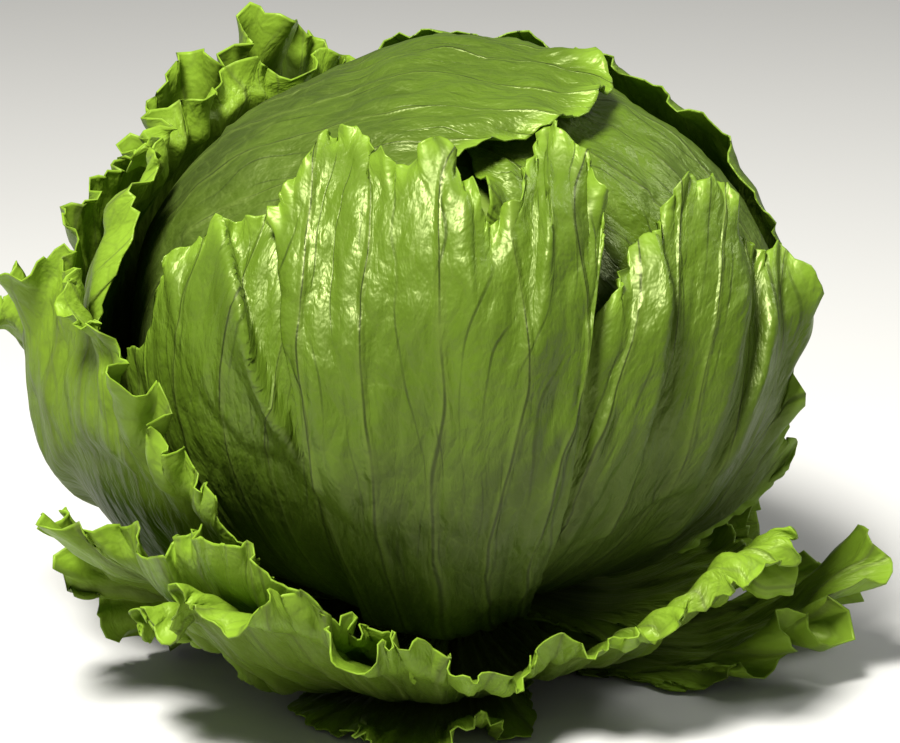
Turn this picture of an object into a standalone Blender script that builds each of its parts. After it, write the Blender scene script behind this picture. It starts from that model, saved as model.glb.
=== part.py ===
"""A head of iceberg lettuce as it is cut and sold, standing on its cut stem.

A tight heart sits on a short stem. Seven broad leaves wrap the heart and ten looser leaves stand off round
them, each a thin blade of its own that grows from beside the stem. Metres, +Z up, the cut face of the stem on
the floor at the origin, and the side that shows best towards -Y.

Every leaf is drawn on the heart's own surface. A point of a leaf has an angle and a distance from the point
under the stem, measured on the leaf laid flat, and a height above the heart. That height is the sum of what
the leaves below take up there, so the leaves lie on each other without crossing.
"""

import math
from dataclasses import dataclass

import bpy
import numpy as np

STEM_RADIUS = 0.0130
STEM_TOP_RADIUS = 0.0115
STEM_HEIGHT = 0.0203
STEM_CHAMFER = 0.0012
STEM_SIDES = 24
CLEARANCE = 0.0004
CURL_ROOM = 0.0019

HEART_WIDTH = 0.0742
HEART_DEPTH = 0.0732
HEART_ABOVE = 0.0625
HEART_BELOW = 0.0576
HEART_MIDDLE = 0.0783
HEART_INSET = 0.0016
HEART_RINGS = 22
HEART_SEGMENTS = 28
FLAT_RADIUS = 0.075

BLADE = 0.0007
PITCH_LOW = 0.0015
PITCH_HIGH = 0.0029
FLOOR_PITCH = 0.0013
FLOOR_SOFT = 0.0020
STEM_GAP = 0.0012
RIB_WIDTH = 0.008
COVER_MARGIN = 0.012
COVER_FALL = 0.028
WIDE_FALL = 0.050
OUTLINE_POINTS = 48
LIMIT = 0.97
CLASP_REACH = 0.050

CELL = 0.017
COLUMNS = (8, 16, 32)
WIDEST_CELL = 0.019


@dataclass(frozen=True)
class Leaf:
    """One leaf: where it grows, its size, how far it stands off the heart, and its margin.

    Lengths are metres and angles degrees.
    """

    name: str
    azimuth: float
    length: float
    spread: float
    fullness: float
    clasp: float
    stand: float = 0.0
    stand_from: float = 0.1
    stand_to: float = 0.8
    roll: float = 0.0
    roll_width: float = 0.016
    ruffle: float = 0.003
    ruffle_reach: float = 0.030
    waves: float = 5
    rib: float = 0.0014
    notch: tuple = (0.0, 0.0, 1.0)
    seed: int = 1
    lean: float = 0.0
    flare: float = 0.0


HEAD_LEAVES = (
    Leaf("head_leaf_1", 350, 0.226, 56, 0.40, 0.3, ruffle=0.001, waves=4, seed=11),
    Leaf("head_leaf_2", 165, 0.268, 46, 0.38, 0.4, ruffle=0.001, waves=4, seed=12),
    Leaf("head_leaf_3", 66, 0.200, 54, 0.42, 0.3, ruffle=0.001, waves=4, seed=13),
    Leaf("head_leaf_4", 214, 0.129, 22, 0.20, 0.4, ruffle=0.002, waves=5, seed=14),
    Leaf("head_leaf_5", 305.5, 0.161, 21.5, 0.07, 1.4, 0.003, 0.6, 1.0, ruffle=0.003,
         ruffle_reach=0.045, waves=1.7, notch=(0.80, 0.30, 0.50), seed=15, lean=17),
    Leaf("head_leaf_6", 240, 0.156, 17.5, 0.06, 0.6, 0.003, 0.6, 1.0, ruffle=0.003,
         ruffle_reach=0.040, waves=2.2, seed=16),
    Leaf("head_leaf_7", 268, 0.180, 13.5, 0.03, 2.6, 0.003, 0.6, 1.0, ruffle=0.002,
         ruffle_reach=0.045, waves=2.5, notch=(0.25, 0.12, 0.22), seed=17, flare=0.10),
)

WRAPPER_LEAVES = (
    Leaf("wrapper_leaf_1", 150, 0.176, 46, 0.28, 0.4, 0.002, 0.3, 0.8, 95, 0.013,
         0.004, 0.020, 6, 0.0020, seed=21),
    Leaf("wrapper_leaf_2", 90, 0.124, 48, 0.34, 0.3, 0.004, 0.2, 0.8, 80, 0.016,
         0.005, 0.022, 6, 0.0020, seed=22),
    Leaf("wrapper_leaf_3", 0, 0.078, 40, 0.30, 0.3, 0.006, 0.2, 0.8, 60, 0.012,
         0.004, 0.018, 5, 0.0020, seed=23),
    Leaf("wrapper_leaf_4", 132, 0.158, 40, 0.24, 0.3, 0.010, 0.2, 0.8, 30, 0.014,
         0.005, 0.022, 4, 0.0020, seed=24),
    Leaf("wrapper_leaf_5", 198, 0.138, 34, 0.18, 0.4, 0.0, 0.2, 0.8, 105, 0.016,
         0.004, 0.024, 5, 0.0020, seed=25),
    Leaf("wrapper_leaf_6", 42, 0.088, 42, 0.30, 0.3, 0.008, 0.2, 0.8, 60, 0.014,
         0.005, 0.020, 5, 0.0020, seed=27),
    Leaf("wrapper_leaf_7", 226, 0.108, 34, 0.16, 0.3, 0.005, 0.1, 0.7, 140, 0.028,
         0.005, 0.024, 4, 0.0020, seed=28),
    Leaf("wrapper_leaf_8", 274, 0.115, 46, 0.05, 0.1, 0.010, 0.1, 0.7, 120, 0.014,
         0.004, 0.016, 5, 0.0020, (0.05, 0.30, 0.55), 26),
    Leaf("wrapper_leaf_9", 260, 0.070, 34, 0.26, 0.2, 0.010, 0.1, 0.7, 40, 0.012,
         0.004, 0.016, 4, 0.0020, seed=29),
    Leaf("wrapper_leaf_10", 350, 0.088, 24, 0.30, 0.2, 0.018, 0.1, 0.9, 20, 0.014,
         0.005, 0.018, 4, 0.0020, seed=30),
)

LEAVES = HEAD_LEAVES + WRAPPER_LEAVES

COLOURS = {
    "stem": (0.66, 0.60, 0.38, 0.55),
    "heart": (0.38, 0.50, 0.12, 0.40),
    "head_leaf": (0.24, 0.40, 0.06, 0.38),
    "wrapper_leaf": (0.15, 0.30, 0.03, 0.42),
}


def smoothstep(x):
    """0 below 0, 1 above 1, and a smooth rise between."""
    x = np.clip(x, 0.0, 1.0)
    return x * x * (3 - 2 * x)


def heart_radii(directions):
    """The heart's half sizes in these directions: it is a little flatter below its middle than above."""
    radii = np.empty(directions.shape)
    radii[..., 0] = HEART_WIDTH
    radii[..., 1] = HEART_DEPTH
    radii[..., 2] = np.where(directions[..., 2] > 0, HEART_ABOVE, HEART_BELOW)
    return radii


def heart_point(directions, height):
    """The point at a height above the heart, along the heart's own outward normal."""
    radii = heart_radii(directions)
    radius = 1 / np.linalg.norm(directions / radii, axis=-1)
    surface = directions * radius[..., None]
    normal = surface / radii**2
    normal /= np.linalg.norm(normal, axis=-1, keepdims=True)
    return surface + normal * height[..., None] + np.array((0.0, 0.0, HEART_MIDDLE))


def swelling(directions):
    """Broad, shallow swellings that the heart has and every leaf follows."""
    x, y, z = np.moveaxis(directions, -1, 0)
    waves = np.sin(3.1 * x + 2.0 * z + 0.6) * np.sin(3.4 * y - 1.2)
    return 0.0008 * (1 + waves) * smoothstep((z + 0.8) / 0.6)


class Blade:
    """A leaf's own frame on the heart, and its outline laid flat."""

    def __init__(self, leaf):
        self.leaf = leaf
        self.middle = leaf.length / 2
        turn = math.radians(leaf.azimuth)
        out = np.array((math.cos(turn), math.sin(turn), 0.0))
        top = np.array((0.0, 0.0, 1.0))
        rise = self.middle / FLAT_RADIUS
        self.centre = math.sin(rise) * out - math.cos(rise) * top
        self.up = math.cos(rise) * out + math.sin(rise) * top
        self.side = np.cross(self.up, self.centre)
        self.squeeze = math.sin(rise) / rise
        self.spread = math.radians(leaf.spread)
        self.phases = np.random.default_rng(leaf.seed).uniform(0, 2 * math.pi, 8)
        shares = np.linspace(-LIMIT, LIMIT, OUTLINE_POINTS)
        far = self.reach(shares)
        near = self.root(shares)
        up_side = near[-1] + (far[-1] - near[-1]) * np.linspace(0.1, 0.9, 6)
        shares = np.concatenate(
            (shares, np.full(6, LIMIT), shares[::-1][::6], shares[:1], np.full(6, -LIMIT))
        )
        distances = np.concatenate((far, up_side[::-1], near[::-1][::6], near[:1], up_side))
        angles = shares * self.half_angle(distances) + self.lean(distances)
        self.outline = np.stack((distances * np.sin(angles), distances * np.cos(angles)), axis=-1)

    def half_angle(self, distance):
        """Half the angle that the blade spans at a distance: it clasps the stem and may flare at the end."""
        clasp = self.leaf.clasp * np.exp(-((distance / CLASP_REACH) ** 2))
        return self.spread * (1 + clasp + self.leaf.flare * (distance / self.leaf.length) ** 6)

    def lean(self, distance):
        """How far the midrib has turned aside, by the square of the share of the length."""
        return math.radians(self.leaf.lean) * (distance / self.leaf.length) ** 2

    def direction(self, angle, distance):
        """The direction from the heart's middle of a point of the flat leaf."""
        x = distance * np.sin(angle)
        y = distance * np.cos(angle) - self.middle
        far = np.maximum(np.hypot(x, y), 1e-9)
        turn = far / FLAT_RADIUS
        flat = x[..., None] * self.side + y[..., None] * self.up
        return np.cos(turn)[..., None] * self.centre + (np.sin(turn) / far)[..., None] * flat

    def flat(self, directions):
        """The reverse of direction: where a direction lies on the flat leaf, from the stem."""
        across = directions @ self.side
        along = directions @ self.up
        turn = np.arccos(np.clip(directions @ self.centre, -1, 1))
        scale = FLAT_RADIUS * turn / np.maximum(np.hypot(across, along), 1e-9)
        return across * scale, along * scale + self.middle

    def reach(self, share):
        """How far the leaf reaches at a share of its width: a power of a cosine, with lobes and a notch."""
        lobes = 0.030 * np.sin(5.0 * share + self.phases[0]) + 0.022 * np.sin(9.0 * share + self.phases[1])
        at, depth, width = self.leaf.notch
        dip = depth * np.exp(-(((share - at) / width) ** 2))
        return self.leaf.length * np.cos(share * math.pi / 2) ** self.leaf.fullness * (1 + lobes - dip)

    def root(self, share):
        """The distance at which the blade starts, just outside the stem."""
        angle = share * self.half_angle(STEM_RADIUS)
        start = (STEM_RADIUS + STEM_GAP) * FLAT_RADIUS / HEART_BELOW
        return start / np.hypot(np.cos(angle), self.squeeze * np.sin(angle))

    def past(self, x, y):
        """The distance past the leaf's outline, negative inside."""
        first = self.outline
        step = np.roll(first, -1, axis=0) - first
        length = np.maximum((step**2).sum(axis=1), 1e-12)
        dx = x[..., None] - first[:, 0]
        dy = y[..., None] - first[:, 1]
        along = np.clip((dx * step[:, 0] + dy * step[:, 1]) / length, 0, 1)
        gap = np.hypot(dx - along * step[:, 0], dy - along * step[:, 1]).min(axis=-1)
        distance = np.hypot(x, y)
        share = (np.arctan2(x, y) - self.lean(distance)) / self.half_angle(distance)
        held = np.clip(share, -LIMIT, LIMIT)
        inside = (np.abs(share) < LIMIT) & (distance > self.root(held)) & (distance < self.reach(held))
        return np.where(inside, -gap, gap)

    def rib(self, x, y):
        """The thickness of the midrib: a ridge that fades towards the tip and beside the stem."""
        distance = np.hypot(x, y)
        off = x - distance * np.sin(self.lean(distance))
        fade = np.clip(1 - y / (0.7 * self.leaf.length), 0, 1) * (0.4 + 0.6 * smoothstep(y / 0.05))
        return self.leaf.rib * np.exp(-((off / RIB_WIDTH) ** 2)) * fade * (y > 0)

    def stand_off(self, x, y):
        """How far the blade means to stand off the heart, from the share of its length."""
        leaf = self.leaf
        share = np.hypot(x, y) / leaf.length
        return leaf.stand * smoothstep((share - leaf.stand_from) / (leaf.stand_to - leaf.stand_from))


BLADES = [Blade(leaf) for leaf in LEAVES]


def layers(directions):
    """For every leaf: its height above the heart, how much it covers, its rib, and the floor under it."""
    near = smoothstep(np.arccos(np.clip(-directions[..., 2], -1, 1)) * FLAT_RADIUS / 0.065)
    close = np.clip(np.arccos(np.clip(-directions[..., 2], -1, 1)) * FLAT_RADIUS / 0.045, 0.2, 1)
    pitch = PITCH_LOW + (PITCH_HIGH - PITCH_LOW) * near
    below = CLEARANCE + swelling(directions)
    stand = np.zeros(below.shape)
    heights, covers, ribs = [], [], []
    for blade in BLADES:
        x, y = blade.flat(directions)
        past = blade.past(x, y)
        cover = 1 - smoothstep((past - COVER_MARGIN * close) / (COVER_FALL * close))
        wide = 1 - smoothstep((past - COVER_MARGIN * close) / WIDE_FALL)
        rib = blade.rib(x, y)
        stand = stand + (blade.stand_off(x, y) * wide) ** 4
        heights.append(below + stand**0.25)
        covers.append(cover)
        ribs.append(rib)
        below = below + cover * (pitch + rib)
    floors = []
    under = np.full(below.shape, BLADE + 0.0003)
    for cover, rib in zip(reversed(covers), reversed(ribs)):
        floors.append(under + rib)
        under = under + cover * (FLOOR_PITCH + rib)
    return heights, covers, ribs, floors[::-1]


def leaf_point(number, along, across):
    """Points of a leaf's inner face, for along 0 at the stem to 1 at the margin and across from -1 to 1."""
    blade = BLADES[number]
    leaf = blade.leaf
    share = np.sign(across) * (1 - (1 - np.abs(across)) ** 1.35) * LIMIT
    jags = 0.014 * np.sin(across * 31 + blade.phases[2]) + 0.010 * np.sin(across * 47 + blade.phases[3])
    edge = blade.reach(share) * (1 + jags * smoothstep((along - 0.8) / 0.2))
    root = blade.root(share)
    distance = root + (edge - root) * along
    angle = share * blade.half_angle(distance) + blade.lean(distance)
    to_edge = edge - distance

    drift = 0.9 * np.sin(3 * across + blade.phases[5])
    wave = np.sin(math.pi * leaf.waves * across + blade.phases[4] + drift)
    wave += 0.35 * np.sin(math.pi * leaf.waves * 2.1 * across + blade.phases[6])
    rise = leaf.ruffle * smoothstep(1 - to_edge / leaf.ruffle_reach) * (0.75 + 0.6 * wave)
    bend = math.radians(leaf.roll) / leaf.roll_width * (0.8 + 0.2 * np.sin(4 * across + blade.phases[7]))
    bend = np.maximum(bend, 1e-3)
    turned = np.clip(leaf.roll_width - to_edge, 0, leaf.roll_width)
    back = np.sin(bend * turned) / bend - turned - rise * np.sin(bend * turned)
    out = (1 - np.cos(bend * turned)) / bend + rise * np.cos(bend * turned)
    out = np.maximum(out, 0)

    kept = free_share(number, blade.direction(angle, distance), out)
    directions = blade.direction(angle, distance + back * kept)
    kept = np.minimum(kept, free_share(number, directions, out))
    heights, _, ribs, floors = layers(directions)
    points = heart_point(directions, heights[number] + out * kept)
    points[..., 2] = press(points[..., 2], floors[number])
    return points, ribs[number]


def free_share(number, directions, out):
    """The share of an outward curl that the leaves outside leave room for."""
    heights, covers, ribs, _ = layers(directions)
    room = np.full(out.shape, 1.0)
    for outer in range(number + 1, len(BLADES)):
        gap = heights[outer] - heights[number] - BLADE - ribs[number] - CURL_ROOM
        room = np.minimum(room, np.maximum(gap, 0.0001) / np.maximum(covers[outer], 0.001) ** 2)
    return 1 / (1 + (out / room) ** 3) ** (1 / 3)


def press(z, floor):
    """Keeps heights above a floor: those near or under it fade towards it without reaching it."""
    above = (z - floor) / FLOOR_SOFT
    return np.where(above > 1, z, floor + FLOOR_SOFT * np.exp(np.minimum(above - 1, 0)))


def row_shares(leaf):
    """The rows of a blade, closer together near the margin."""
    edge = max(leaf.roll_width, leaf.ruffle_reach * 0.8) / leaf.length
    count = math.ceil((1 - edge) * leaf.length / CELL)
    return list(np.linspace(0, 1 - edge, count + 1)) + [1 - edge / 2, 1.0]


def blade_sheet(number):
    """A leaf's sheet of triangles, with more columns where it is wide. Returns points, faces and ribs."""
    shares = row_shares(LEAVES[number])
    points, ribs, faces, rows = [], [], [], []
    tier = 0
    for place, share in enumerate(shares):
        columns = COLUMNS[tier]
        row, rib = leaf_point(number, np.full(columns + 1, share), np.linspace(-1, 1, columns + 1))
        widest = np.linalg.norm(np.diff(row, axis=0), axis=1).max()
        last = place >= len(shares) - 3
        if tier < 2 and place and (widest > WIDEST_CELL or last):
            tier += 1
            columns = COLUMNS[tier]
            row, rib = leaf_point(number, np.full(columns + 1, share), np.linspace(-1, 1, columns + 1))
        rows.append(range(len(points), len(points) + columns + 1))
        points.extend(row)
        ribs.extend(rib)
    for low, high in zip(rows, rows[1:]):
        if len(low) == len(high):
            for i in range(len(low) - 1):
                faces.append((low[i], high[i + 1], high[i]))
                faces.append((low[i], low[i + 1], high[i + 1]))
            continue
        for i in range(len(low) - 1):
            a, b, c = high[2 * i], high[2 * i + 1], high[2 * i + 2]
            faces.append((low[i], b, a))
            faces.append((low[i], low[i + 1], b))
            faces.append((low[i + 1], c, b))
    return points, faces, ribs


def material(name, colour):
    """A plain material: base colour, and the last number is its roughness."""
    made = bpy.data.materials.new(name)
    made.use_nodes = True
    shader = made.node_tree.nodes["Principled BSDF"]
    shader.inputs["Base Color"].default_value = (*colour[:3], 1)
    shader.inputs["Roughness"].default_value = colour[3]
    shader.inputs["Metallic"].default_value = 0
    return made


def add_object(name, points, faces, surface):
    """A smooth mesh object with these points and faces."""
    mesh = bpy.data.meshes.new(name)
    mesh.from_pydata([tuple(map(float, p)) for p in points], [], faces)
    mesh.materials.append(surface)
    mesh.shade_smooth()
    made = bpy.data.objects.new(name, mesh)
    bpy.context.scene.collection.objects.link(made)
    return made


def make_leaf(number, surface):
    """One leaf: its sheet, thickened outwards, with the midrib thicker than the blade."""
    leaf = LEAVES[number]
    points, faces, ribs = blade_sheet(number)
    made = add_object(leaf.name, points, faces, surface)
    thickest = BLADE + leaf.rib
    group = made.vertex_groups.new(name="thickness")
    for i, rib in enumerate(ribs):
        group.add([i], float((BLADE + rib) / thickest), "REPLACE")
    thicken = made.modifiers.new("thickness", "SOLIDIFY")
    thicken.thickness = thickest
    thicken.offset = 1
    thicken.vertex_group = group.name
    return made


def make_heart(surface):
    """The heart: a ball with broad swellings, flat where it meets the stem."""
    polar = np.linspace(0, math.pi, HEART_RINGS + 1)[1:-1]
    turn = np.arange(HEART_SEGMENTS) * 2 * math.pi / HEART_SEGMENTS
    a, t = np.meshgrid(polar, turn, indexing="ij")
    directions = np.stack((np.sin(a) * np.cos(t), np.sin(a) * np.sin(t), -np.cos(a)), axis=-1)
    points = heart_point(directions, swelling(directions) - HEART_INSET)
    points[..., 2] = np.maximum(points[..., 2], STEM_HEIGHT + CLEARANCE)
    points = list(points.reshape(-1, 3))
    faces = []
    for i in range(HEART_RINGS - 2):
        for j in range(HEART_SEGMENTS):
            k = (j + 1) % HEART_SEGMENTS
            low = i * HEART_SEGMENTS
            high = low + HEART_SEGMENTS
            faces.append((low + j, low + k, high + k, high + j))
    faces.append(tuple(reversed(range(HEART_SEGMENTS))))
    last = (HEART_RINGS - 2) * HEART_SEGMENTS
    faces.append(tuple(range(last, last + HEART_SEGMENTS)))
    return add_object("heart", points, faces, surface)


def make_stem(surface):
    """The short stem under the heart, with its cut face flat on the floor."""
    profile = (
        (STEM_RADIUS - STEM_CHAMFER, 0.0),
        (STEM_RADIUS, STEM_CHAMFER),
        (STEM_RADIUS, STEM_HEIGHT * 0.6),
        (STEM_TOP_RADIUS, STEM_HEIGHT),
    )
    points, faces = [], []
    for radius, z in profile:
        for i in range(STEM_SIDES):
            turn = 2 * math.pi * i / STEM_SIDES
            points.append((radius * math.cos(turn), radius * math.sin(turn), z))
    for ring in range(len(profile) - 1):
        for i in range(STEM_SIDES):
            k = (i + 1) % STEM_SIDES
            low, high = ring * STEM_SIDES, (ring + 1) * STEM_SIDES
            faces.append((low + i, low + k, high + k, high + i))
    faces.append(tuple(reversed(range(STEM_SIDES))))
    faces.append(tuple(range(len(points) - STEM_SIDES, len(points))))
    made = add_object("stem", points, faces, surface)
    made.data.set_sharp_from_angle(angle=math.radians(35))
    return made


def main():
    for old in list(bpy.data.objects):
        bpy.data.objects.remove(old)
    surfaces = {name: material(name, colour) for name, colour in COLOURS.items()}
    make_stem(surfaces["stem"])
    make_heart(surfaces["heart"])
    for number, leaf in enumerate(LEAVES):
        kind = "head_leaf" if leaf in HEAD_LEAVES else "wrapper_leaf"
        make_leaf(number, surfaces[kind])


main()
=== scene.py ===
"""A head of iceberg lettuce: its looks, leaf by leaf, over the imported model.

Every leaf is a thin sheet drawn on the heart's own surface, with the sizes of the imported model's leaf. A
point of a leaf has an angle and a distance from the point under the stem, measured on the leaf laid flat, and
a height above the heart, which is the sum of what the leaves below take up there. Here each sheet also gets
its folds, its frilled and toothed margin, its crinkles and its veins. Metres, +Z up, best side towards -Y.
"""

from __future__ import annotations

import logging
import math
from dataclasses import dataclass, field
from enum import Enum

import bmesh
import bpy
import numpy as np
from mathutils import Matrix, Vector


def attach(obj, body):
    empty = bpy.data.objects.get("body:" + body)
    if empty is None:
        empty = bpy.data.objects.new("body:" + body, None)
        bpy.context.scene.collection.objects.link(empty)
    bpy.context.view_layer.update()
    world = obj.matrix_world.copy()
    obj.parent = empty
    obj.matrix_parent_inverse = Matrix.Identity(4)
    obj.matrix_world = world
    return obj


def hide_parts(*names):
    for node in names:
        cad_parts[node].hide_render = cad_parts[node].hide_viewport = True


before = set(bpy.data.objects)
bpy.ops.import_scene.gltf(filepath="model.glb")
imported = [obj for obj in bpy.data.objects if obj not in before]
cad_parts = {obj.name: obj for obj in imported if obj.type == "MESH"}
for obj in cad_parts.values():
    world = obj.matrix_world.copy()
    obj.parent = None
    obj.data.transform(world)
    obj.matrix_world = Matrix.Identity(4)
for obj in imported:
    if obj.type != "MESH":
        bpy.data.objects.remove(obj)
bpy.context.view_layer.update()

Array = np.ndarray
Colour = tuple[float, float, float]
Scale = tuple[float, float, float]
log = logging.getLogger("lettuce")

# Sizes in metres. LIMIT is the share of a leaf's half width at which its blade ends.
BLADE = 0.0007
MARGIN_BLADE = 0.00035
STEM_RADIUS = 0.0130
STEM_HEIGHT = 0.0203
LIMIT = 0.97


def smoothstep(x: Array) -> Array:
    """0 below 0, 1 above 1, and a smooth rise between."""
    x = np.clip(x, 0.0, 1.0)
    return x * x * (3 - 2 * x)


def unit(vectors: Array) -> Array:
    """Vectors divided by their own lengths."""
    return vectors / np.maximum(np.linalg.norm(vectors, axis=-1, keepdims=True), 1e-12)


def bounded(shift: Array, room: Array) -> Array:
    """Holds a shift under a room.

    Formula: the shift over the cube root of one plus the cube of its share of the room, so a small shift is
    kept whole and a large one comes near the room without passing it.

    Args:
        shift: Shifts of zero or more.
        room: The most that each may be.

    Returns:
        The held shifts.
    """
    return shift / np.cbrt(1 + (shift / room) ** 3)


def spline_weights(coarse: int, fine: int) -> Array:
    """Weights that carry values at evenly spaced coarse places to fine ones.

    Formula: Catmull-Rom splines, where each fine value is a cubic blend of the four coarse values round it.

    Args:
        coarse: The number of coarse places.
        fine: The number of fine places.

    Returns:
        A matrix of fine rows and coarse columns.
    """
    place = np.linspace(0, coarse - 1, fine)
    low = np.clip(place.astype(int), 0, coarse - 2)
    t = place - low
    blends = (
        -0.5 * t + t**2 - 0.5 * t**3,
        1 - 2.5 * t**2 + 1.5 * t**3,
        0.5 * t + 2 * t**2 - 1.5 * t**3,
        -0.5 * t**2 + 0.5 * t**3,
    )
    weights = np.zeros((fine, coarse))
    for step, blend in enumerate(blends):
        np.add.at(weights, (np.arange(fine), np.clip(low + step - 1, 0, coarse - 1)), blend)
    return weights


class Noise:
    """Smooth random swells over a plane, the same each run."""

    def __init__(self, seed: int) -> None:
        """Draws the lattice of slopes from a seed."""
        self.turns = np.random.default_rng(seed).uniform(0, 2 * math.pi, (64, 64))

    def __call__(self, x: Array, y: Array) -> Array:
        """Gives the swell at each place.

        Formula: each lattice corner has a random slope; the four slopes round a place are blended by a
        quintic fade of how near the place is to each corner.

        Args:
            x: Places along the first axis, where one cell is 1.
            y: Places along the second axis.

        Returns:
            Values from about -1 to 1.
        """
        x, y = np.broadcast_arrays(np.asarray(x, float), np.asarray(y, float))
        column, row = np.floor(x).astype(int), np.floor(y).astype(int)
        u, v = x - column, y - row
        fade_u = u**3 * (u * (6 * u - 15) + 10)
        fade_v = v**3 * (v * (6 * v - 15) + 10)
        total = np.zeros(x.shape)
        for right in (0, 1):
            for up in (0, 1):
                turn = self.turns[(column + right) % 64, (row + up) % 64]
                slope = np.cos(turn) * (u - right) + np.sin(turn) * (v - up)
                near = (fade_u if right else 1 - fade_u) * (fade_v if up else 1 - fade_v)
                total += slope * near
        return total * 1.5


@dataclass(frozen=True)
class HeartForm:
    """The heart's outline, on which every leaf is drawn. Half sizes in metres."""

    width: float = 0.0742
    depth: float = 0.0732
    above: float = 0.0625
    below: float = 0.0576
    middle: float = 0.0783
    flat_radius: float = 0.075
    swell: float = 0.0008

    def point(self, directions: Array, height: Array) -> Array:
        """Points at a height above the heart.

        Formula: an ellipsoid's point in each direction, flatter below the middle than above, plus the
        outward normal there times the height.

        Args:
            directions: Unit vectors from the heart's middle.
            height: Heights in metres.

        Returns:
            The points.
        """
        radii = np.empty(directions.shape)
        radii[..., 0] = self.width
        radii[..., 1] = self.depth
        radii[..., 2] = np.where(directions[..., 2] > 0, self.above, self.below)
        surface = directions / np.linalg.norm(directions / radii, axis=-1, keepdims=True)
        normal = unit(surface / radii**2)
        return surface + normal * height[..., None] + np.array((0.0, 0.0, self.middle))

    def swelling(self, directions: Array) -> Array:
        """The heart's broad, shallow swellings.

        Formula: a product of two slow sine waves, which fades out below.

        Args:
            directions: Unit vectors from the heart's middle.

        Returns:
            Heights in metres.
        """
        x, y, z = np.moveaxis(directions, -1, 0)
        waves = np.sin(3.1 * x + 2.0 * z + 0.6) * np.sin(3.4 * y - 1.2)
        return self.swell * (1 + waves) * smoothstep((z + 0.8) / 0.6)


@dataclass(frozen=True)
class Fold:
    """A ridge that the end of a leaf is gathered into.

    share is its place across the leaf from -1 to 1, and lean how far across its foot lies from there. width,
    height and reach down the leaf are metres. lop is how much steeper its right side is, or its left where
    lop is negative, and tip how far its crest falls to the right, as a share of its height.
    """

    share: float
    width: float
    height: float
    reach: float
    lean: float = 0.0
    lop: float = 0.0
    tip: float = 0.0


@dataclass(frozen=True)
class Frill:
    """A leaf's margin: its waves and its teeth, in metres.

    height is how far the waves swing, pitch the length of one, and reach how far in they begin. sway is how
    much they double back along the margin, bias how far they favour the outside, and sides the share of all
    this that the two sides have. tooth and tooth_pitch are the size and the spacing of the teeth.
    """

    height: float
    pitch: float
    reach: float
    sway: float
    bias: float
    sides: float
    tooth: float
    tooth_pitch: float


HEAD_FRILL = Frill(0.0018, 0.022, 0.016, 0.30, 0.9, 0.2, 0.0012, 0.0040)
WRAPPER_FRILL = Frill(0.0052, 0.027, 0.024, 0.42, 0.15, 0.5, 0.0024, 0.0054)


@dataclass(frozen=True)
class LeafShape:
    """One leaf: where it grows, its size, how far it stands off the heart, its margin and its mesh.

    Lengths are metres and angles degrees. The last field, the paling share, is how far the leaf pales towards
    its end; below 1 the end stays darker, which on the top and right-hand leaves is painted shade.
    """

    name: str
    azimuth: float
    length: float
    spread: float
    fullness: float
    clasp: float
    stand: float = 0.0
    stand_from: float = 0.1
    stand_to: float = 0.8
    roll: float = 0.0
    roll_width: float = 0.016
    ruffle: float = 0.003
    ruffle_reach: float = 0.030
    waves: float = 5
    rib: float = 0.0014
    notch: tuple[float, float, float] = (0.0, 0.0, 1.0)
    seed: int = 1
    lean: float = 0.0
    flare: float = 0.0
    rows: int = 100
    columns: int = 110
    frill: Frill = HEAD_FRILL
    folds: tuple[Fold, ...] = ()
    crinkle: float = 0.00055
    swell: float = 0.0015
    # The paling share: below 1 the leaf's end stays darker, as painted shade on the top and right-hand
    # leaves.
    pallor_and_painted_shade: float = 1.0


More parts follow.
